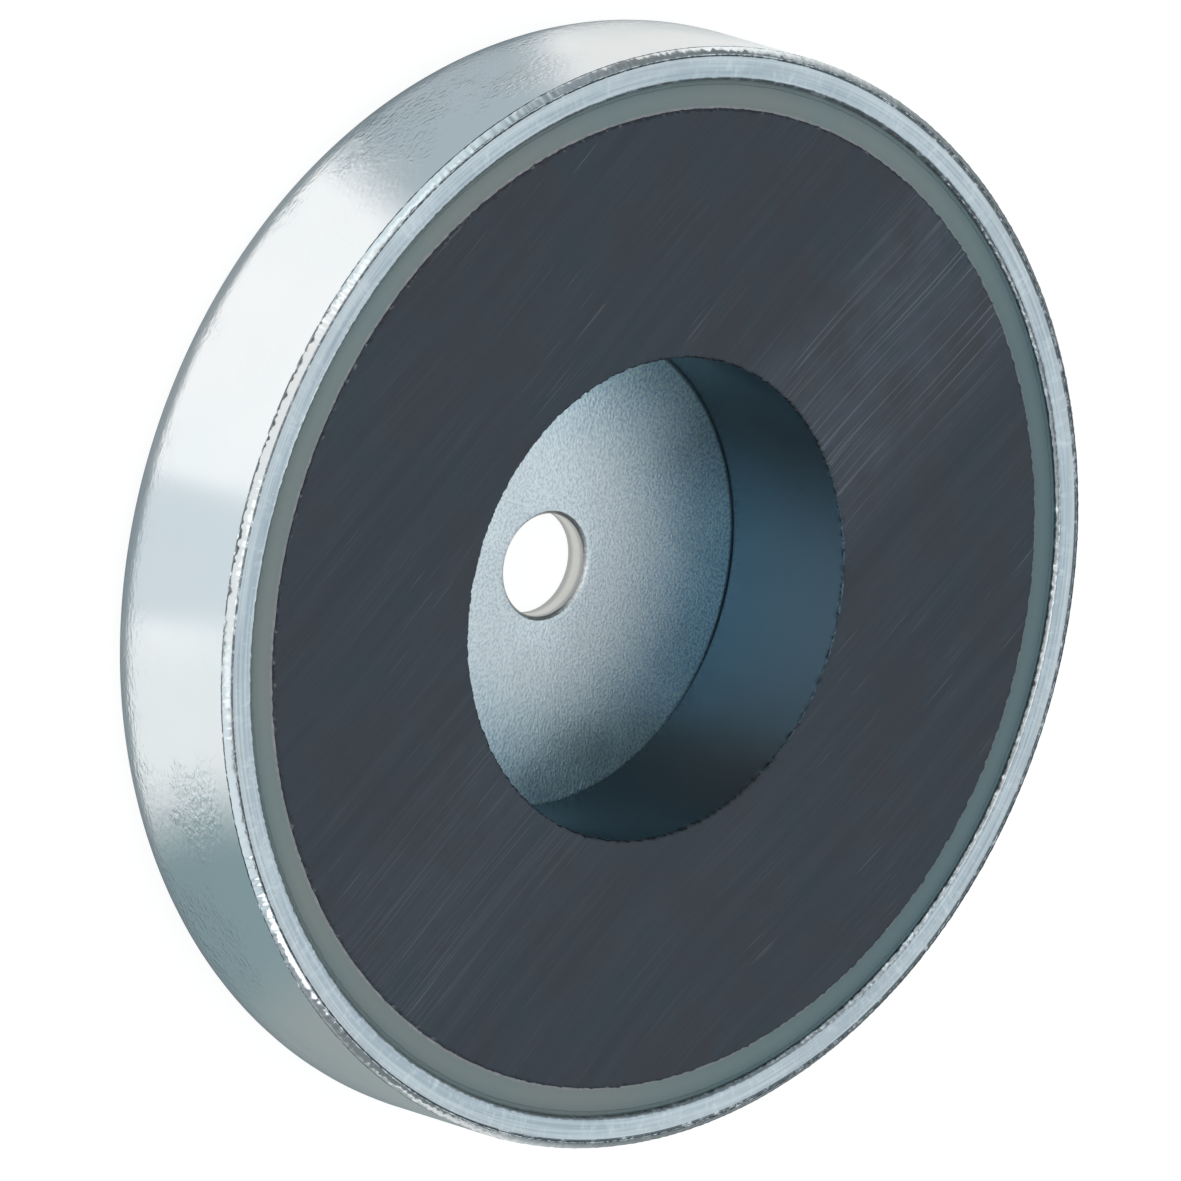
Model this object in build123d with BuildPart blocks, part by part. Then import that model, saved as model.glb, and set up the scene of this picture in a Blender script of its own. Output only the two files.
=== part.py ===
from build123d import *
import os

# Pot magnet: a ring of hard ferrite seated in a deep-drawn steel cup, which closes the
# magnetic circuit from the magnet's back round to the rim. A non-magnetic ring keeps the
# magnet clear of the cup's wall, so that the field doesn't short across the face.
#
# It lies on its closed back at z = 0 with the magnet face up. Z is the axis of revolution.

# ---------------------------------------------------------------------------------------
# Driving dimensions, in millimetres
# ---------------------------------------------------------------------------------------
cup_diameter = 81.0  # outside of the drawn wall
cup_height = 14.7  # back face to rim
wall_thickness = 2.4  # sheet left in the wall after drawing
floor_thickness = 2.2  # sheet left in the floor
floor_corner_radius = 2.0  # nose radius of the drawing punch, inside the cup
rim_outer_chamfer = 0.5  # turned on the outer edge when the rim is faced flat
rim_inner_chamfer = 0.2  # only enough to break the inner edge

hole_diameter = 7.6  # clearance hole for a pan-head screw
hole_edge_chamfer = 0.25  # both edges of the punched hole, deburred

magnet_diameter = 72.0
magnet_bore = 35.5
magnet_edge_chamfer = 0.15  # ground edges of the sintered ring

spacer_drop = 0.3  # the ring between magnet and wall ends just below the rim

# ---------------------------------------------------------------------------------------
# Sizes that follow from them
# ---------------------------------------------------------------------------------------
cup_radius = cup_diameter / 2
recess_radius = cup_radius - wall_thickness
back_corner_radius = floor_corner_radius + wall_thickness  # the sheet bends round the punch
magnet_height = cup_height - floor_thickness  # flush with the rim
magnet_radius = magnet_diameter / 2
spacer_seat = floor_thickness + floor_corner_radius  # the bend stops the spacer here
spacer_height = cup_height - spacer_drop - spacer_seat

os.makedirs("parts", exist_ok=True)

# ---------------------------------------------------------------------------------------
# Cup: the sheet's section, followed from the centre of the back round the wall and the rim
# to the middle of the floor, is revolved, and then the hole is punched
# ---------------------------------------------------------------------------------------
with BuildPart() as cup:
    with BuildSketch(Plane.XZ) as cup_section:
        with BuildLine():
            back = Line((0, 0), (cup_radius - back_corner_radius, 0))
            back_bend = JernArc(back @ 1, back % 1, back_corner_radius, 90)
            outer_wall = Line(back_bend @ 1, (cup_radius, cup_height - rim_outer_chamfer))
            outer_edge = Line(outer_wall @ 1, (cup_radius - rim_outer_chamfer, cup_height))
            rim = Line(outer_edge @ 1, (recess_radius + rim_inner_chamfer, cup_height))
            inner_edge = Line(rim @ 1, (recess_radius, cup_height - rim_inner_chamfer))
            inner_wall = Line(inner_edge @ 1, (recess_radius, floor_thickness + floor_corner_radius))
            floor_bend = JernArc(inner_wall @ 1, inner_wall % 1, floor_corner_radius, -90)
            floor = Line(floor_bend @ 1, (0, floor_thickness))
            Line(floor @ 1, back @ 0)
        make_face()
    revolve(axis=Axis.Z)

    with Locations((0, 0, floor_thickness)):
        Hole(radius=hole_diameter / 2, depth=floor_thickness)
    chamfer(cup.edges(Select.LAST).filter_by(GeomType.CIRCLE), hole_edge_chamfer)

cup.part.label = "cup"
export_step(cup.part, "parts/cup.step")

# ---------------------------------------------------------------------------------------
# Ring magnet: seated on the cup's floor and ground flush with the rim
# ---------------------------------------------------------------------------------------
with BuildPart() as ring_magnet:
    with BuildSketch(Plane.XY.offset(floor_thickness)) as magnet_outline:
        Circle(magnet_radius)
        Circle(magnet_bore / 2, mode=Mode.SUBTRACT)
    extrude(amount=magnet_height)
    chamfer(ring_magnet.edges().filter_by(GeomType.CIRCLE), magnet_edge_chamfer)

ring_magnet.part.label = "ring_magnet"
export_step(ring_magnet.part, "parts/ring_magnet.step")

# ---------------------------------------------------------------------------------------
# Spacer ring: a plain ring in the gap between magnet and wall. It goes down until it meets
# the bend in the cup's floor, and ends just below the rim
# ---------------------------------------------------------------------------------------
with BuildPart() as spacer_ring:
    with BuildSketch(Plane.XY.offset(spacer_seat)) as spacer_outline:
        Circle(recess_radius)
        Circle(magnet_radius, mode=Mode.SUBTRACT)
    extrude(amount=spacer_height)

spacer_ring.part.label = "spacer_ring"
export_step(spacer_ring.part, "parts/spacer_ring.step")
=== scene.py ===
# %% [markdown]
# # A pot magnet
#
# A pot magnet is a ring of hard ferrite in a steel cup. The magnet pulls on its own face only
# weakly, so the cup carries the field from the ring's back round to the rim beside the face,
# where a steel plate closes the circuit. A non-magnetic ring holds magnet and wall apart.
#
# Everything below is worked out from that frame, so that each piece lands where the CAD says.

# %% Load the frame
import math

import bpy
from mathutils import Matrix, Vector


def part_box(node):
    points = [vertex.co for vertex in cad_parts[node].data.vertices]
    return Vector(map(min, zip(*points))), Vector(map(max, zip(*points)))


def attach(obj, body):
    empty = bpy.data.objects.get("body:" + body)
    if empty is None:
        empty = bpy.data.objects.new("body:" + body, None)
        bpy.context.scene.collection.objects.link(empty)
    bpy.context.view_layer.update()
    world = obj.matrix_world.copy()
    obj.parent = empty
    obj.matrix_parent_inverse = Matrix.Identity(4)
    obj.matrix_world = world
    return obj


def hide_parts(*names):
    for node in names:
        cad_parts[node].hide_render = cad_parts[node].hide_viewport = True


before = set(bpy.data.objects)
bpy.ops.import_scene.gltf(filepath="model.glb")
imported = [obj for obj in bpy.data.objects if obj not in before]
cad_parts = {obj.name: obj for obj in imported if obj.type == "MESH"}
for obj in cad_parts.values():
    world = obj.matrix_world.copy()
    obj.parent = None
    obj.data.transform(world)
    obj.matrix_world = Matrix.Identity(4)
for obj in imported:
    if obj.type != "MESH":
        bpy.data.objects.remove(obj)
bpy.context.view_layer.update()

# %% [markdown]
# ## The sizes
#
# The boxes of the three CAD nodes give most of the sizes. The radius of a bore is the distance
# of the node's nearest point from the axis. A box can't show the bends and the broken edges, so
# those are written here as they are in the CAD source.

# %% Read the sizes from the frame
mm = 0.001


def inner_radius(node):
    """How near to the axis a node's own points come."""
    return min(v.co.xy.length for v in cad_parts[node].data.vertices)


cup_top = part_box("cup")[1]
cup_radius, cup_height = cup_top.x, cup_top.z
hole_radius = inner_radius("cup")
magnet_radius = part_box("ring_magnet")[1].x
bore_radius = inner_radius("ring_magnet")
cup_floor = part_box("ring_magnet")[0].z
recess_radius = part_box("spacer_ring")[1].x
spacer_foot, spacer_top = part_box("spacer_ring")[0].z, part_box("spacer_ring")[1].z

back_bend = 4.4 * mm
floor_bend = 2.0 * mm
rim_chamfer = 0.5 * mm
rim_inner_chamfer = 0.2 * mm
hole_chamfer = 0.25 * mm
magnet_chamfer = 0.15 * mm

print(f"cup {2 * cup_radius / mm:.1f} x {cup_height / mm:.1f} mm, magnet {2 * magnet_radius / mm:.1f} mm")
print(f"bore {2 * bore_radius / mm:.1f} mm, screw hole {2 * hole_radius / mm:.1f} mm")

# %% [markdown]
# ## Turning a ring
#
# All three pieces are bodies of revolution. Spin could make them in one step, but following the
# section with a circle is closer to what a lathe does, and the rings stay easy to find later by
# their radius and height. So a circle is added at the section's first point, and extruded and
# scaled from point to point until it meets itself. A corner of the section is given with the
# radius it's rounded to, because no real edge is perfectly sharp, and that thin round is what
# catches the light.

# %% Helpers that follow a section round the axis
def rounded(corners, points_per_round=3):
    """A section's points (radius, height). Each corner is (radius, height, rounding, points)."""
    points = []
    for i, corner in enumerate(corners):
        here = Vector(corner[:2])
        rounding = corner[2] if len(corner) > 2 else 0
        if not rounding:
            points.append(here)
            continue
        count = corner[3] if len(corner) > 3 else points_per_round
        back = (Vector(corners[i - 1][:2]) - here).normalized()
        ahead = (Vector(corners[(i + 1) % len(corners)][:2]) - here).normalized()
        half_angle = back.angle(ahead) / 2
        run = rounding / math.tan(half_angle)
        centre = here + (back + ahead).normalized() * rounding / math.sin(half_angle)
        start, end = here + back * run - centre, here + ahead * run - centre
        swing = start.angle_signed(end)
        for step in range(count + 1):
            points.append(centre + Matrix.Rotation(-swing * step / count, 2) @ start)
    return points


def pick_nothing():
    """Deselects every object, since an operator works on all that is selected."""
    bpy.ops.object.select_all(action="DESELECT")


def turned(name, section, steps):
    """A closed ring: a circle of so many steps, extruded along the section until it closes."""
    pick_nothing()
    first = section[0]
    bpy.ops.mesh.primitive_circle_add(vertices=steps, radius=first.x, location=(0, 0, first.y))
    piece = bpy.context.object
    piece.name = name
    bpy.ops.object.transform_apply(location=True, rotation=False, scale=False)
    bpy.ops.object.mode_set(mode="EDIT")
    bpy.ops.mesh.select_all(action="SELECT")
    for here, ahead in zip(section, section[1:] + section[:1]):
        bpy.ops.mesh.extrude_region_move(TRANSFORM_OT_translate={"value": (0, 0, ahead.y - here.y)})
        grow = ahead.x / here.x
        bpy.ops.transform.resize(value=(grow, grow, 1), center_override=(0, 0, 0))
    bpy.ops.mesh.select_all(action="SELECT")
    bpy.ops.mesh.remove_doubles(threshold=0.001 * mm)
    bpy.ops.mesh.normals_make_consistent(inside=False)
    bpy.ops.object.mode_set(mode="OBJECT")
    bpy.ops.object.shade_smooth_by_angle(angle=math.radians(30))
    print(f"{name}: {len(section)} points round the section, {len(piece.data.polygons)} faces")
    return piece


# %% [markdown]
# ## Worn and ragged edges
#
# A turned edge carries a torn burr, and a ceramic edge chips. Such marks are small, but they
# decide whether an edge looks machined or drawn by a computer. A Displace modifier moves only the
# rings that make up an edge, each point by a cloud texture's red, green and blue, so neighbours
# move together in lumps of the texture's own size.
#
# A rounded or ragged edge has one danger. Shading is spread smoothly from ring to ring, so the
# edge would tilt the light on the whole flat beside it. A guard ring in the flat, close to the
# edge, stops that: it changes no shape, and the flat beyond it is shaded flat. Beside an edge that
# is made ragged there are two.

# %% A helper that makes an edge ragged
def ragged(piece, title, where, depth, grain):
    """Moves the points where where(radius, height) holds, by about depth, in lumps as long as grain."""
    group = piece.vertex_groups.new(name=title)
    points = [v.index for v in piece.data.vertices if where(v.co.xy.length, v.co.z)]
    group.add(points, 1.0, "REPLACE")
    lumps = bpy.data.textures.new(title, "CLOUDS")
    lumps.cloud_type = "COLOR"
    lumps.noise_scale = grain
    pick_nothing()
    piece.select_set(True)
    bpy.context.view_layer.objects.active = piece
    wear = piece.modifiers.new(title, "DISPLACE")
    wear.texture = lumps
    wear.texture_coords = "LOCAL"
    wear.direction = "RGB_TO_XYZ"
    wear.vertex_group = title
    wear.strength = depth
    bpy.ops.object.modifier_apply(modifier=wear.name)
    print(f"{piece.name}: {title} on {len(points)} points")


# %% [markdown]
# ## The cup
#
# The cup is deep-drawn: a disc of sheet steel is pressed through a die by a round-nosed punch, so
# its section is one line of sheet that bends from the floor into the wall. The rim is then faced
# flat, its outer edge chamfered, and the screw hole punched and deburred. The turning tool leaves
# a fine groove on each side of the chamfer and a thin burr on the rim's inner edge. The section is
# written in that order, from the back round the wall and the rim to the hole.

# %% The cup's section, turned
fine_edge = 0.04 * mm
groove = 0.05 * mm
burr = 0.03 * mm
guard = 0.4 * mm
cup_steps = 1760
chamfer_foot = cup_height - rim_chamfer
chamfer_top = cup_radius - rim_chamfer
burr_foot = recess_radius + rim_inner_chamfer
back_face = [
    (hole_radius + hole_chamfer, 0.0),
    (cup_radius - back_bend - guard, 0.0),  # guard ring
    (cup_radius, 0.0, back_bend, 14),
    (cup_radius, back_bend + guard),  # guard ring
]
lower_groove = [
    (cup_radius, chamfer_foot - 8 * groove),  # guard ring
    (cup_radius, chamfer_foot - 4 * groove),  # guard ring
    (cup_radius, chamfer_foot - 1.5 * groove),
    (cup_radius - groove, chamfer_foot - 0.7 * groove),
]
chamfer = [
    (cup_radius + 0.5 * groove, chamfer_foot, fine_edge, 2),
    (chamfer_top + 0.7 * groove, cup_height - 0.7 * groove),
    (chamfer_top, cup_height, 3 * fine_edge, 3),
]
upper_groove = [
    (chamfer_top - groove, cup_height - groove),
    (chamfer_top - 2.5 * groove, cup_height, fine_edge, 2),
    (chamfer_top - 6 * groove, cup_height),  # guard ring
    (chamfer_top - 10 * groove, cup_height),  # guard ring
]
inner_edge = [
    (burr_foot + 14 * burr, cup_height),  # guard ring
    (burr_foot + 8 * burr, cup_height),  # guard ring
    (burr_foot + 2 * burr, cup_height),
    (burr_foot, cup_height + burr),
    (recess_radius + rim_inner_chamfer / 2, cup_height - burr),
    (recess_radius, cup_height - rim_inner_chamfer),
]
inside = [
    (recess_radius, cup_floor, floor_bend, 4),
    (recess_radius - floor_bend - guard, cup_floor),  # guard ring
    (hole_radius + hole_chamfer + guard, cup_floor),  # guard ring
    (hole_radius + hole_chamfer, cup_floor, fine_edge, 2),
    (hole_radius, cup_floor - hole_chamfer, fine_edge, 2),
    (hole_radius, hole_chamfer),
]
cup_corners = back_face + lower_groove + chamfer + upper_groove + inner_edge + inside
cup = turned("drawn_cup", rounded(cup_corners), cup_steps)

# %% [markdown]
# The edges of the chamfer and the rim's inner edge are then made ragged. Their depth and grain are
# what a worn tool leaves: about a tenth of a millimetre, in lumps three times as long.

# %% The cup's burrs
def on_chamfer_edges(radius, height):
    """Within two grooves of the chamfer's foot or of its top."""
    near_foot = abs(height - chamfer_foot) < 2 * groove and radius > cup_radius - 2 * groove
    by_top = abs(radius - chamfer_top + groove) < 2 * groove
    return near_foot or (by_top and height > cup_height - 1.5 * groove)


def on_inner_edge(radius, height):
    """On the rim's inner chamfer and the burr over it."""
    near_top = height > cup_height - 1.2 * rim_inner_chamfer
    return near_top and radius < recess_radius + 1.5 * rim_inner_chamfer


ragged(cup, "turned_burr", on_chamfer_edges, 0.08 * mm, 0.30 * mm)
ragged(cup, "inner_burr", on_inner_edge, 0.13 * mm, 0.32 * mm)
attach(cup, "root")
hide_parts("cup")

# %% [markdown]
# ## The ring magnet
#
# Ferrite is a ceramic: powder is pressed and sintered into a ring, and then only its two faces are
# ground, so its edges are crisp where they are whole and chipped where a grain has broken out.

# %% The magnet's section, turned
magnet_steps = 2400
chip_reach = 0.3 * mm
magnet_corners = [
    (magnet_radius - magnet_chamfer, cup_floor),
    (magnet_radius, cup_floor + magnet_chamfer),
    (magnet_radius, cup_height - magnet_chamfer - 2 * chip_reach),  # guard ring
    (magnet_radius, cup_height - magnet_chamfer - chip_reach),  # guard ring
    (magnet_radius, cup_height - magnet_chamfer, fine_edge, 2),
    (magnet_radius - magnet_chamfer, cup_height, fine_edge, 2),
    (magnet_radius - magnet_chamfer - chip_reach, cup_height),  # guard ring
    (magnet_radius - magnet_chamfer - 2 * chip_reach, cup_height),  # guard ring
    (bore_radius + magnet_chamfer + 2 * chip_reach, cup_height),  # guard ring
    (bore_radius + magnet_chamfer + chip_reach, cup_height),  # guard ring
    (bore_radius + magnet_chamfer, cup_height, fine_edge, 2),
    (bore_radius, cup_height - magnet_chamfer, fine_edge, 2),
    (bore_radius, cup_height - magnet_chamfer - chip_reach),  # guard ring
    (bore_radius, cup_height - magnet_chamfer - 2 * chip_reach),  # guard ring
    (bore_radius, cup_floor + magnet_chamfer),
    (bore_radius + magnet_chamfer, cup_floor),
]
magnet = turned("ferrite_ring", rounded(magnet_corners), magnet_steps)


def on_outer_corner(radius, height):
    """On the ground face's outer edge."""
    return height > cup_height - chip_reach and radius > magnet_radius - 1.2 * magnet_chamfer


def on_bore_corner(radius, height):
    """On the ground face's inner edge."""
    return height > cup_height - chip_reach and radius < bore_radius + 1.2 * magnet_chamfer


ragged(magnet, "chipped_edge", on_outer_corner, 0.26 * mm, 0.50 * mm)
ragged(magnet, "chipped_bore", on_bore_corner, 0.22 * mm, 0.40 * mm)
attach(magnet, "root")
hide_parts("ring_magnet")

# %% [markdown]
# ## The spacer ring
#
# The ring that holds magnet and wall apart is plastic. It ends a little below the rim, with a fine
# line just inside the wall where it has shrunk away, and it creeps up the magnet's side unevenly,
# as a plastic does that was poured or pressed in when soft.

# %% The spacer's section, turned
spacer_steps = 2000
creep = 0.06 * mm
wall_line = 0.3 * mm
spacer_corners = [
    (magnet_radius, spacer_foot),
    (recess_radius, spacer_foot),
    (recess_radius, spacer_top - creep),
    (recess_radius - 0.5 * wall_line, spacer_top),
    (recess_radius - wall_line, spacer_top - creep),
    (recess_radius - 1.3 * wall_line, spacer_top),
    (magnet_radius + 4 * creep, spacer_top),
    (magnet_radius + 2 * creep, spacer_top + 0.5 * creep),
    (magnet_radius, spacer_top + creep),
]
spacer = turned("spacer_band", rounded(spacer_corners), spacer_steps)


def on_spacer_face(radius, height):
    """On the upper face, away from the wall."""
    return height > spacer_top - 1.5 * creep and radius < recess_radius - 0.1 * wall_line


ragged(spacer, "uneven_face", on_spacer_face, 0.10 * mm, 0.9 * mm)
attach(spacer, "root")
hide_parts("spacer_ring")

# %% [markdown]
# ## Writing a finish
#
# A finish is a formula over the surface: where a point lies decides its colour, its roughness and
# the tilt of its normal. So a finish is written here as one. `Amount` is a value that varies over
# the surface and works with plus, minus and times like a number, and `Finish` makes every other
# node with one method. Nothing is painted or mapped, so it needs no seams and no picture.

# %% The two classes that finishes are written with
class Amount:
    """A number, colour or vector that varies over a surface: one output socket of a node."""

    def __init__(self, finish, socket):
        self.finish = finish
        self.socket = socket

    def worked(self, operation, *terms):
        """What one Math node makes of these terms."""
        return self.finish.node("ShaderNodeMath", {"operation": operation}, dict(enumerate(terms)))

    def __add__(self, other):
        return self.worked("ADD", self, other)

    def __sub__(self, other):
        return self.worked("SUBTRACT", self, other)

    def __rsub__(self, other):
        return self.worked("SUBTRACT", other, self)

    def __mul__(self, other):
        return self.worked("MULTIPLY", self, other)

    def __truediv__(self, other):
        return self.worked("DIVIDE", self, other)

    def __pow__(self, other):
        return self.worked("POWER", self, other)

    __radd__ = __add__
    __rmul__ = __mul__

    def rising(self, low, high):
        """0 below low, 1 above high, and a soft step between."""
        return self.finish.node(
            "ShaderNodeMapRange",
            {"interpolation_type": "SMOOTHSTEP"},
            {"Value": self, "From Min": low, "From Max": high},
        )


class Finish:
    """A material or a world while it's being written: its nodes, and where a point of it lies."""

    def __init__(self, owner, coordinates="Object"):
        self.owner = owner
        owner.use_nodes = True
        self.tree = owner.node_tree
        self.tree.nodes.clear()
        self.place = self.node("ShaderNodeTexCoord", out=coordinates)
        self.x, self.y, self.z = [
            self.node("ShaderNodeSeparateXYZ", None, {0: self.place}, out=axis) for axis in "XYZ"
        ]
        self.radius = (self.x * self.x + self.y * self.y) ** 0.5

    def node(self, kind, settings=None, sockets=None, out=0):
        """Any node: its settings first, then a value or a link for each socket named."""
        made = self.tree.nodes.new(kind)
        for name, value in (settings or {}).items():
            setattr(made, name, value)
        for name, value in (sockets or {}).items():
            if isinstance(value, Amount):
                self.tree.links.new(value.socket, made.inputs[name])
            else:
                made.inputs[name].default_value = value
        return Amount(self, made.outputs[out]) if made.outputs else None

    def vector(self, x, y, z):
        """A vector from its three numbers."""
        return self.node("ShaderNodeCombineXYZ", None, {0: x, 1: y, 2: z})

    def noise(self, vector, scale, detail=2.0, rough=0.5):
        """Noise from 0 to 1, in lumps about 1 / scale long in the vector's own unit."""
        return self.node(
            "ShaderNodeTexNoise",
            None,
            {"Vector": vector, "Scale": scale, "Detail": detail, "Roughness": rough},
        )

    def blend(self, share, first, second):
        """A colour between two colours."""
        return self.node(
            "ShaderNodeMix", {"data_type": "RGBA"}, {0: share, 6: first, 7: second}, out=2
        )

    def bump(self, height, depth, over=None):
        """A surface normal from a height from 0 to 1, as deep as depth, over another normal."""
        sockets = {"Height": height, "Strength": 1.0, "Distance": depth}
        if over is not None:
            sockets["Normal"] = over
        return self.node("ShaderNodeBump", None, sockets)

    def coat(self, piece, **sockets):
        """Ends the finish with a Principled shader and puts it on a piece."""
        named = {name.replace("_", " "): value for name, value in sockets.items()}
        shader = self.node("ShaderNodeBsdfPrincipled", None, named)
        self.node("ShaderNodeOutputMaterial", None, {"Surface": shader})
        piece.data.materials.clear()
        piece.data.materials.append(self.owner)
        print(f"{piece.name}: {self.owner.name}, {len(self.tree.nodes)} nodes")


def tint(red, green, blue):
    """A colour in linear light."""
    return (red, green, blue, 1.0)


def new_finish(name):
    """A finish for a new material."""
    return Finish(bpy.data.materials.new(name))


# %% [markdown]
# ## Zinc plating
#
# Bright zinc is metal all through, so it has no colour of its own beyond the tint of what it
# mirrors: what makes it read as plated steel is how that mirror is disturbed. Each disturbance is
# a short function here, and the finish then puts them together.
#
# Drawing stretches a rolled sheet more in some directions than in others, so the wall is pebbled in
# four ears, and faintly all round by the bend. The pebbles break up every edge that they mirror.
# The rim was faced on a lathe, which leaves faint rings, and then it was rubbed, more on one side,
# and nicked. Shade is painted dark into the grooves beside the chamfer and along the spacer, and a
# dark reflection is painted on the chamfer's far side.

# %% Marks on the wall and the rim
def noise_round(zinc, length, across, width, rough=0.5):
    """Noise that follows the ring, in lumps so long round it and so wide across it."""
    scale = cup_radius / length
    lumps = zinc.vector(
        zinc.x / zinc.radius * scale, zinc.y / zinc.radius * scale, across / width
    )
    return zinc.noise(lumps, 1.0, detail=2.0, rough=rough)


def pebbling(zinc, clouds, hues):
    """The height of the pebbles, which is 0 where the sheet is smooth."""
    fleck_length, fleck_width = 0.55 * mm, 0.30 * mm
    flecks = noise_round(zinc, fleck_length, zinc.z, fleck_width)
    across = (zinc.x / zinc.radius) * (zinc.x / zinc.radius)
    four_crests = 8 * across * (1 - across) - 1  # this is -cos(4a) at the azimuth a
    ears = (four_crests + 0.8 * (hues - 0.5)).rising(0.0, 0.95)
    below_rim = 1 - zinc.z.rising(11 * mm, 14.2 * mm)
    near_bend = 1 - zinc.z.rising(4.6 * mm, 7 * mm)
    patches = 0.35 + 0.65 * clouds.rising(0.42, 0.58)
    return flecks * (ears * below_rim + 0.5 * near_bend) * patches


def worn_rim(zinc, clouds):
    """The faced rim's colour: brighter on the rubbed side, with pale nicks and dull patches."""
    nick_length, nick_width = cup_radius / 70, 1.2 * mm
    nicks = noise_round(zinc, nick_length, zinc.radius, nick_width, rough=0.8)
    outer_side = zinc.radius.rising(recess_radius + 0.6 * mm, chamfer_top)
    unrubbed = ((zinc.x + zinc.y) / zinc.radius).rising(-1.3, -0.2)
    outer_tone = zinc.blend(unrubbed, tint(0.66, 0.685, 0.70), tint(0.57, 0.59, 0.60))
    faced = zinc.blend(outer_side, tint(0.49, 0.545, 0.585), outer_tone)
    nicked = zinc.blend(nicks.rising(0.45, 0.80) * 0.8, faced, tint(0.78, 0.80, 0.83))
    return zinc.blend(clouds.rising(0.45, 0.70) * 0.5, nicked, tint(0.44, 0.50, 0.55))


def groove_shade(zinc, on_rim, on_chamfer):
    """How much painted shade a point gets: in the two grooves and by the spacer, and as a painted dark
    reflection on the chamfer's far side.
    """
    radius, z = zinc.radius, zinc.z
    specks = zinc.noise(zinc.place, 800.0, detail=3.0, rough=0.75)
    far_side = (zinc.y / radius).rising(-0.3, 0.5)

    reach = 2.4 * groove + 3 * groove * far_side
    past_inside = (radius + reach - chamfer_top).rising(-groove, 0.0)
    past_outside = radius.rising(chamfer_top + 0.2 * groove, chamfer_top + 1.4 * groove)
    at_top = past_inside * (1 - past_outside)

    past_wall = z.rising(chamfer_foot - 2.6 * groove, chamfer_foot - 1.4 * groove)
    at_foot = past_wall * (1 - z.rising(chamfer_foot, chamfer_foot + groove))

    wide_side = 1 - (zinc.x / radius).rising(-0.6, -0.2)
    inward = radius - recess_radius - 0.14 * mm * wide_side
    near_rim = z.rising(cup_height - 0.60 * mm, cup_height - 0.40 * mm)
    by_spacer = near_rim * (1 - inward.rising(0.06 * mm, 0.14 * mm))

    # painted shade in the two grooves and along the spacer, and a painted dark reflection on the
    # chamfer's far side
    in_grooves = at_top * on_rim + at_foot * (1 - on_rim) + 0.7 * by_spacer
    return (in_grooves + 0.45 * on_chamfer * far_side) * specks.rising(0.34, 0.50)


# %% [markdown]
# Down in the recess, which no tool has rubbed, the zinc keeps its crystalline grain. Shade is
# painted into it, darker and bluer toward the magnet, and a dark shadow line is painted on one side
# where the magnet sits on it. The wall of the hole keeps the light band that the punch burnished.

# %% Marks in the recess and the hole
def crystal_floor(zinc, crystals):
    """The recess's colour: bright and dull crystals, darker and bluer toward the magnet as painted shade,
    and a painted shadow line by the magnet.
    """
    # painted shade: darker and bluer toward the magnet, in the recess's corner
    far_out = zinc.radius.rising(7 * mm, bore_radius)
    bright = zinc.blend(far_out, tint(0.98, 1.0, 1.0), tint(0.74, 0.98, 1.0))
    dull = zinc.blend(far_out, tint(0.72, 0.78, 0.82), tint(0.36, 0.58, 0.80))
    grained = zinc.blend(crystals.rising(0.38, 0.68), bright, dull)
    # a painted shadow where the magnet sits on the floor, on one side only
    by_magnet = zinc.radius.rising(bore_radius - 0.30 * mm, bore_radius - 0.05 * mm)
    shadow_line = by_magnet * (1 - (zinc.x / zinc.radius).rising(-0.1, 0.6))
    return zinc.blend(shadow_line * 0.85, grained, tint(0.10, 0.15, 0.20))


def punched_wall(zinc):
    """The hole's colour, with the burnished band half-way up."""
    burnished = zinc.z.rising(0.5 * mm, 1.0 * mm) * (1 - zinc.z.rising(1.4 * mm, 1.8 * mm))
    return zinc.blend(burnished, tint(0.60, 0.62, 0.62), tint(0.92, 0.92, 0.90))


# %% Zinc plating on the cup
def plate_with_zinc(piece):
    zinc = new_finish("bright_zinc")
    radius, z = zinc.radius, zinc.z
    clouds = zinc.noise(zinc.place, 130.0, detail=3.0, rough=0.55)
    hues = zinc.noise(zinc.place, 60.0, detail=2.0)
    crystals = zinc.noise(zinc.place, 4600.0, detail=1.5, rough=0.7)
    ring_length, ring_width = 14 * mm, 0.22 * mm
    rings = noise_round(zinc, ring_length, radius, ring_width)

    in_recess = 1 - radius.rising(bore_radius, bore_radius + 1 * mm)
    in_hole = 1 - radius.rising(hole_radius + 0.05 * mm, hole_radius + 0.2 * mm)
    on_rim = z.rising(cup_height - 0.08 * mm, cup_height - 0.03 * mm)
    above_foot = z.rising(chamfer_foot - 0.05 * mm, chamfer_foot)
    on_chamfer = above_foot * radius.rising(chamfer_top - 0.05 * mm, chamfer_top)

    plated = zinc.blend(hues.rising(0.35, 0.65), tint(0.87, 0.885, 0.89), tint(0.82, 0.87, 0.88))
    turned_share = 0.4 + 0.6 * rings.rising(0.30, 0.70)
    faced = zinc.blend(turned_share * on_rim, plated, worn_rim(zinc, clouds))
    # the colour of the painted shade in the grooves, by the spacer and on the chamfer's far side
    groove_shade_colour = tint(0.10, 0.125, 0.14)
    outside = zinc.blend(groove_shade(zinc, on_rim, on_chamfer) * 0.90, faced, groove_shade_colour)
    within = zinc.blend(in_hole, crystal_floor(zinc, crystals), punched_wall(zinc))
    colour = zinc.blend(in_recess, outside, within)

    shine = 0.18 + 0.10 * clouds.rising(0.35, 0.65) + 0.10 * on_rim - 0.08 * on_chamfer
    rough = shine + (0.14 + 0.12 * crystals) * in_recess
    pebble_depth, ring_depth, crystal_depth = 0.16 * mm, 0.004 * mm, 0.035 * mm
    normal = zinc.bump(pebbling(zinc, clouds, hues) * (1 - in_recess), pebble_depth)
    normal = zinc.bump(rings * on_rim, ring_depth, over=normal)
    normal = zinc.bump(crystals * in_recess, crystal_depth, over=normal)
    zinc.coat(piece, Base_Color=colour, Metallic=1.0, Roughness=rough, Normal=normal)


plate_with_zinc(cup)
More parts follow.
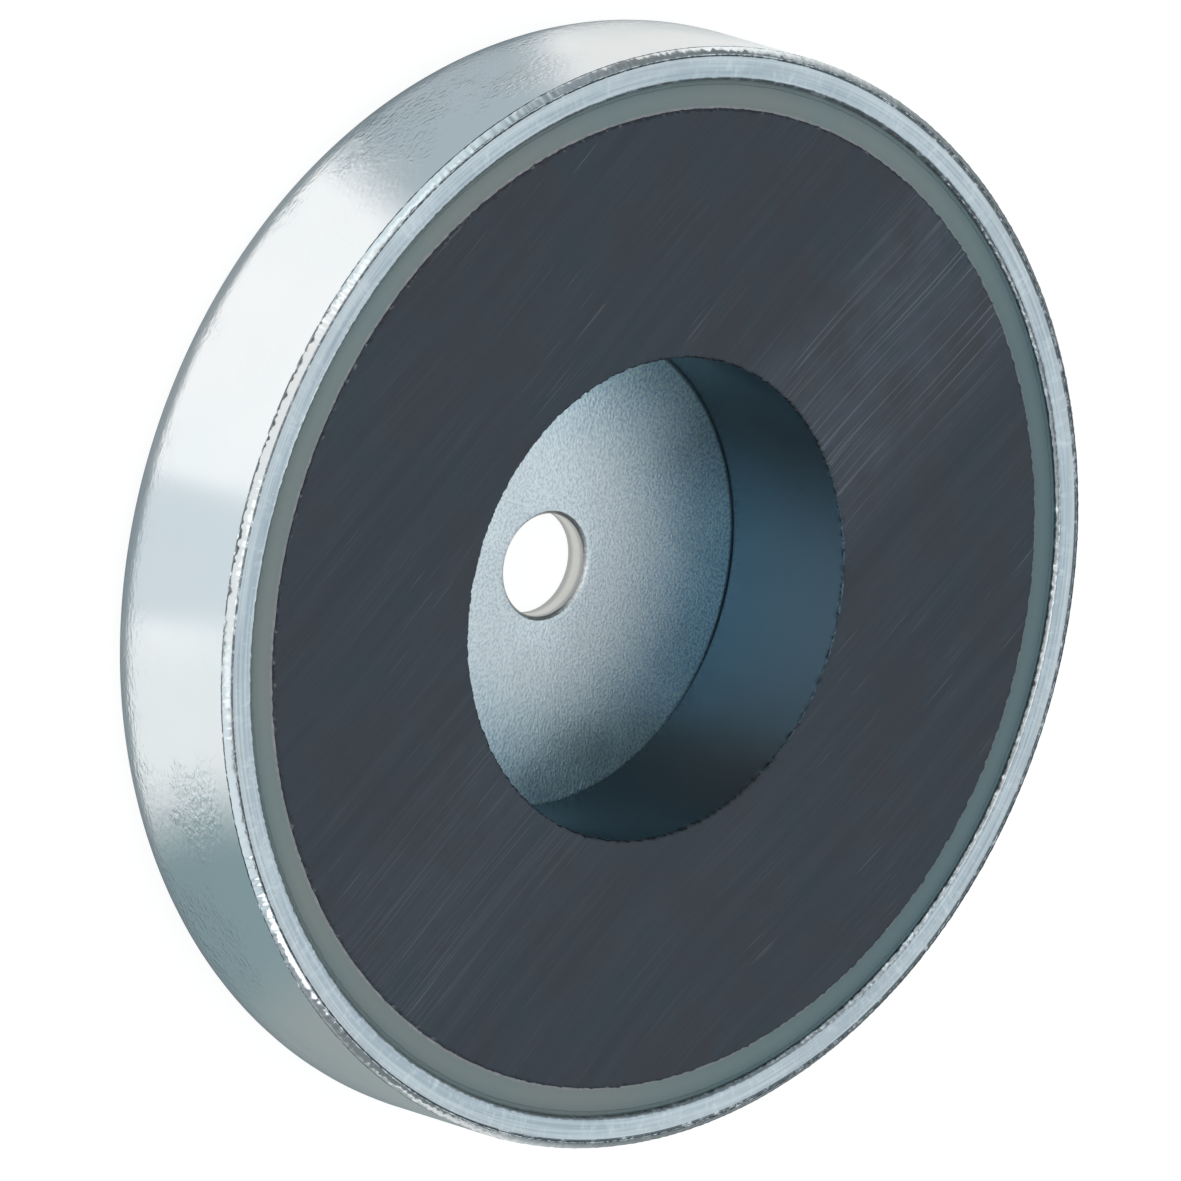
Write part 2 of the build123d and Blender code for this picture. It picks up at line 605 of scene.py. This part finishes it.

# %% [markdown]
# ## Ferrite
#
# Sintered ferrite is nearly black. Its face was ground on a surface grinder, which leaves one
# family of nearly parallel scratches: a fine hair all over, short cuts here and there, and a band
# of long bright ones where the wheel was coarse. A scratch is a stretched noise, cut off so high
# that only its crests are left. Pale chips show along the outer edge.
#
# The bore wasn't ground and keeps the smooth skin of the press, nearly black, with a blue reflection
# painted into its colour on one side. A dark paint would look flat there, so the skin is made partly
# metallic.

# %% The ground face and the pressed bore
def ground_face(ferrite, hues):
    """The ground face's colour, and the fine hair of scratches that covers it."""
    grinding = math.radians(150)
    wander = ferrite.noise(ferrite.place, 25.0, detail=1.0) * (4 * mm)
    along = ferrite.x * math.cos(grinding) + ferrite.y * math.sin(grinding)
    aside = ferrite.y * math.cos(grinding) - ferrite.x * math.sin(grinding) + wander

    def scratched(length, width, seed, detail=0.0):
        """Noise stretched along the scratches, another one for each seed."""
        lumps = ferrite.vector(along / length, aside / width, seed)
        return ferrite.noise(lumps, 1.0, detail=detail)

    coarse_band = 10 * mm
    coarse = (1 - (aside * aside) / coarse_band**2).rising(0.0, 0.9)
    toward_end = along.rising(-20 * mm, 30 * mm)
    hair = scratched(7 * mm, 0.16 * mm, 0.0, detail=2.0)
    streaks = scratched(30 * mm, 1.3 * mm, 3.0, detail=2.0)
    light = 0.30 * hair + 0.40 * streaks + 0.30 * coarse * (0.4 + 0.6 * toward_end)
    streaked = ferrite.blend(
        light.rising(0.15, 0.85), tint(0.033, 0.035, 0.046), tint(0.068, 0.075, 0.095)
    )
    warm = ferrite.blend(hues.rising(0.45, 0.70) * 0.6, streaked, tint(0.044, 0.037, 0.040))
    cool = ferrite.blend((1 - hues.rising(0.30, 0.48)) * 0.5, warm, tint(0.033, 0.046, 0.055))

    spots = ferrite.noise(ferrite.place, 110.0, detail=2.0).rising(0.50, 0.62)
    long_cuts = scratched(26 * mm, 0.17 * mm, 11.0).rising(0.67, 0.76) * coarse * toward_end
    fine_cuts = scratched(12 * mm, 0.13 * mm, 29.0).rising(0.62, 0.74) * (0.25 + 0.75 * coarse)
    short_cuts = scratched(6 * mm, 0.16 * mm, 19.0).rising(0.72, 0.80) * spots
    cuts = 0.60 * long_cuts + 0.22 * fine_cuts + 0.30 * short_cuts
    return ferrite.blend(cuts, cool, tint(0.20, 0.21, 0.24)), hair


def pressed_skin(ferrite, hues):
    """The bore's colour: nearly black, with a painted blue reflection on one side."""
    reflection_turn = math.radians(10)
    toward = ferrite.y * math.cos(reflection_turn) - ferrite.x * math.sin(reflection_turn)
    # a painted blue reflection on the side of the bore that faces this way
    blue_reflection = (toward / ferrite.radius + 0.10 * (hues - 0.5)).rising(0.70, 1.0)
    return ferrite.blend(blue_reflection, tint(0.046, 0.050, 0.054), tint(0.072, 0.120, 0.160))


# %% Ferrite on the magnet
def grind_ferrite(piece):
    ferrite = new_finish("ground_ferrite")
    radius, z = ferrite.radius, ferrite.z
    hues = ferrite.noise(ferrite.place, 170.0, detail=3.0, rough=0.6)
    face = z.rising(cup_height - 0.12 * mm, cup_height - 0.06 * mm)
    in_bore = (1 - radius.rising(bore_radius + 0.5 * mm, bore_radius + 1 * mm)) * (1 - face)
    by_edge = radius.rising(magnet_radius - 0.20 * mm, magnet_radius - 0.08 * mm)
    chips = ferrite.noise(ferrite.place, 1500.0, detail=2.0).rising(0.58, 0.68)

    ground, hair = ground_face(ferrite, hues)
    chipped = ferrite.blend(by_edge * chips, ground, tint(0.15, 0.15, 0.16))
    hair_depth = 0.008 * mm
    ferrite.coat(
        piece,
        Base_Color=ferrite.blend(in_bore, chipped, pressed_skin(ferrite, hues)),
        Roughness=0.26 + (0.22 + 0.10 * hair) * (1 - in_bore),
        Specular_Tint=tint(0.75, 0.92, 1.0),
        Metallic=0.8 * in_bore,
        Normal=ferrite.bump(hair * face, hair_depth),
    )


grind_ferrite(magnet)

# %% [markdown]
# ## The spacer's plastic
#
# The spacer is a soft grey-green plastic. Shade is painted into its colour: darker and bluer next to
# the steel wall, and on one side of the ring. A pale line runs along the magnet and is speckled on
# the near side.

# %% Plastic on the spacer
def mould_spacer(piece):
    resin = new_finish("spacer_resin")
    radius = resin.radius
    clouds = resin.noise(resin.place, 60.0, detail=4.0, rough=0.6)
    chips = resin.noise(resin.place, 1800.0, detail=2.0).rising(0.46, 0.60)
    by_wall = radius.rising(recess_radius - 1.3 * mm, recess_radius)
    by_magnet = 1 - radius.rising(magnet_radius + 0.10 * mm, magnet_radius + 0.25 * mm)
    # painted shade: one side of the ring darker and bluer
    shaded_side = (resin.y / radius + 0.35 * clouds).rising(0.35, 1.10)
    near_side = 1 - (resin.y / radius).rising(-0.1, 0.4)

    lit_tone = resin.blend(clouds.rising(0.35, 0.65), tint(0.205, 0.262, 0.258), tint(0.235, 0.262, 0.246))
    body = resin.blend(shaded_side, lit_tone, tint(0.130, 0.195, 0.205))
    # painted shade next to the steel wall, stronger on the shaded side
    deep = resin.blend(by_wall * (0.35 + 0.5 * shaded_side), body, tint(0.070, 0.125, 0.145))
    pale_line = by_magnet * (0.4 + 0.6 * chips * near_side)
    colour = resin.blend(pale_line, deep, tint(0.36, 0.34, 0.36))
    resin.coat(piece, Base_Color=colour, Roughness=0.38)


mould_spacer(spacer)

# %% [markdown]
# ## The studio
#
# The part lies on its back, but it is easier to recognise when it seems to stand on edge with its
# face to the viewer. So the camera looks down on the magnet and is rolled by a little over a right
# angle. It stands far off with a long lens, which keeps the near and the far side of the rim alike
# in size. The view's width is measured at the magnet's face, and the lens follows from it.

# %% Camera
face_centre = Vector((0, 0, cup_height))
camera_distance = 3.5
camera_elevation = math.radians(47.5)
camera_roll = math.radians(106.86)
view_width = 85.1 * mm
face_right_of_middle = 4.83 * mm
face_below_middle = 0.655 * mm
sensor_width = 36.0

toward_camera = Vector((0, -math.cos(camera_elevation), math.sin(camera_elevation)))
level = (-toward_camera).to_track_quat("-Z", "Y").to_matrix()
turn = level @ Matrix.Rotation(camera_roll, 3, "Z")
right, up, back = turn.col[0], turn.col[1], turn.col[2]
aim = face_centre - right * face_right_of_middle + up * face_below_middle

bpy.ops.object.camera_add(location=aim + back * camera_distance, rotation=turn.to_euler())
camera = bpy.context.object
camera.data.sensor_width = sensor_width
camera.data.lens = sensor_width * camera_distance / view_width
camera.data.clip_end = 50.0
bpy.context.scene.camera = camera
print(f"camera {camera_distance} m away, lens {camera.data.lens:.0f} mm")

# %% [markdown]
# ## The floor and its cards
#
# A shiny part shows the room more than itself, so a photographer lays grey cards round it and
# watches their mirror images on the metal. The cards here are drawn on the floor by their direction
# from the cup and are seen only by mirrored rays. Six stand beside the wall. Two wide ones beyond
# the cup darken the far side of the rim's chamfer, a shadow is painted on the floor under the cup's
# edge for the mirrored rays alone, and a pale disc lies under the screw hole. To the camera the floor
# is white, and it keeps the magnet's soft shadow.

# %% Floor
floor_side = 20.0
floor_gap = 0.01 * mm
side_cards = [
    # azimuth, half width and softness in degrees, how much the card covers, and its shade
    (-57, 8, 8, 0.9, tint(0.84, 0.86, 0.86)),
    (-175, 14, 7, 0.9, tint(0.80, 0.79, 0.77)),
    (-14, 33, 7, 1.0, tint(0.13, 0.22, 0.24)),
    (0, 18, 8, 0.8, tint(0.26, 0.28, 0.27)),
    (-144, 14, 5, 1.0, tint(0.35, 0.41, 0.45)),
    (-79, 2, 8, 0.68, tint(0.50, 0.58, 0.64)),
]


def studio_floor():
    pick_nothing()
    bpy.ops.mesh.primitive_plane_add(size=floor_side, location=(0, 0, -floor_gap))
    floor = bpy.context.object
    floor.name = "floor"
    white = new_finish("pale_floor")
    radius = white.radius
    seen = white.node("ShaderNodeLightPath", out="Is Camera Ray")
    mirrored = white.node("ShaderNodeLightPath", out="Is Glossy Ray")

    def card(azimuth, half_width, softness):
        """1 on a card laid beside the cup."""
        a = math.radians(azimuth)
        toward = (white.x * math.cos(a) + white.y * math.sin(a)) / radius
        edge = math.radians(half_width)
        soft = math.radians(softness)
        return toward.rising(math.cos(edge + soft), math.cos(edge - soft))

    paper = tint(1.0, 1.0, 1.0)
    for azimuth, half_width, softness, cover, shade in side_cards:
        paper = white.blend(card(azimuth, half_width, softness) * cover, paper, shade)
    beyond = radius.rising(43 * mm, 50 * mm) * (1 - radius.rising(0.4, 0.6))
    paper = white.blend(card(90, 60, 12) * beyond, paper, tint(0.17, 0.20, 0.21))
    paper = white.blend(card(90, 26, 12) * beyond, paper, tint(0.05, 0.06, 0.07))
    # a painted shadow on the floor under the cup's edge, seen only by mirrored rays
    under = 1 - radius.rising(40.8 * mm, 43.2 * mm)
    paper = white.blend(under * 0.9, paper, tint(0.12, 0.16, 0.18))
    behind_hole = 1 - radius.rising(4.0 * mm, 5.0 * mm)
    paper = white.blend(behind_hole, paper, tint(0.62, 0.62, 0.60))

    glow_seen, glow_mirrored = 0.90, 0.92
    white.coat(
        floor,
        Base_Color=white.blend(seen + mirrored, tint(0.80, 0.80, 0.80), tint(0.20, 0.20, 0.20)),
        Roughness=0.9,
        Emission_Color=white.blend(mirrored, tint(1, 1, 1), paper),
        Emission_Strength=glow_seen * seen + glow_mirrored * mirrored,
        Specular_IOR_Level=0.0,
    )


studio_floor()

# %% [markdown]
# ## Lights
#
# A wide soft box in front lights the part and shows as a pale band in the rim's chamfer. A narrow
# one within it makes the chamfer's white spot, a strip low at one side gives it a second one, and a
# weak box at the other side brightens the wall there.

# %% Lights
def soft_light(name, azimuth, elevation, distance, width, height, brightness, colour=(1, 1, 1)):
    """A rectangular soft box that faces the magnet. Its brightness is that of its own surface."""
    a, e = math.radians(azimuth), math.radians(elevation)
    direction = Vector((math.cos(e) * math.cos(a), math.cos(e) * math.sin(a), math.sin(e)))
    pick_nothing()
    bpy.ops.object.light_add(type="AREA", location=direction * distance)
    lamp = bpy.context.object
    lamp.name = name
    lamp.rotation_euler = (-direction).to_track_quat("-Z", "Y").to_euler()
    lamp.data.shape = "RECTANGLE"
    lamp.data.size, lamp.data.size_y = width, height
    lamp.data.energy = brightness * math.pi * width * height
    lamp.data.color = colour
    print(f"{name}: {width} x {height} m, {lamp.data.energy:.2f} W")


soft_light(
    "front_box",
    azimuth=-90,
    elevation=48,
    distance=2.0,
    width=2.9,
    height=2.2,
    brightness=0.77,
    colour=(1.0, 0.99, 0.98),
)
soft_light(
    "front_strip", azimuth=-80, elevation=50, distance=1.9, width=0.26, height=1.0, brightness=0.8
)
soft_light(
    "left_box", azimuth=-145, elevation=36, distance=2.0, width=0.9, height=0.8, brightness=0.27
)
soft_light(
    "side_strip", azimuth=-2, elevation=24, distance=2.0, width=0.6, height=0.7, brightness=1.35
)

# %% [markdown]
# The world fills the rest with a cool grey, written over the direction from which its light comes.
# It is darker at both sides, low on the far side and behind the front box, and nearly black high up
# at both sides, because the metal needs something dark to mirror. To the camera alone it is white.

# %% World
def studio_world():
    sky = Finish(bpy.data.worlds.new("studio"), coordinates="Generated")
    seen = sky.node("ShaderNodeLightPath", out="Is Camera Ray")
    sideways = sky.x * sky.x
    beside = sideways.rising(0.10, 0.35) * sky.y.rising(-0.40, 0.0)
    high_side = sideways.rising(0.16, 0.34) * sky.z.rising(0.50, 0.66)
    far_and_low = sky.y.rising(-0.10, 0.30) * (1 - sky.z.rising(0.20, 0.50))
    behind_box = (1 - sideways.rising(0.15, 0.40)) * (1 - sky.y.rising(-0.55, -0.30))

    room = sky.blend(beside, tint(0.74, 0.83, 0.88), tint(0.30, 0.35, 0.39))
    room = sky.blend(high_side, room, tint(0.07, 0.075, 0.08))
    room = sky.blend(far_and_low, room, tint(0.18, 0.20, 0.21))
    room = sky.blend(behind_box, room, tint(0.12, 0.13, 0.14))
    colour = sky.blend(seen, room, tint(1, 1, 1))
    background = sky.node("ShaderNodeBackground", None, {"Color": colour, "Strength": 1.0})
    sky.node("ShaderNodeOutputWorld", None, {"Surface": background})
    bpy.context.scene.world = sky.owner
    print(f"world: {sky.owner.name}, {len(sky.tree.nodes)} nodes")


studio_world()

bpy.context.scene.view_settings.view_transform = "Standard"
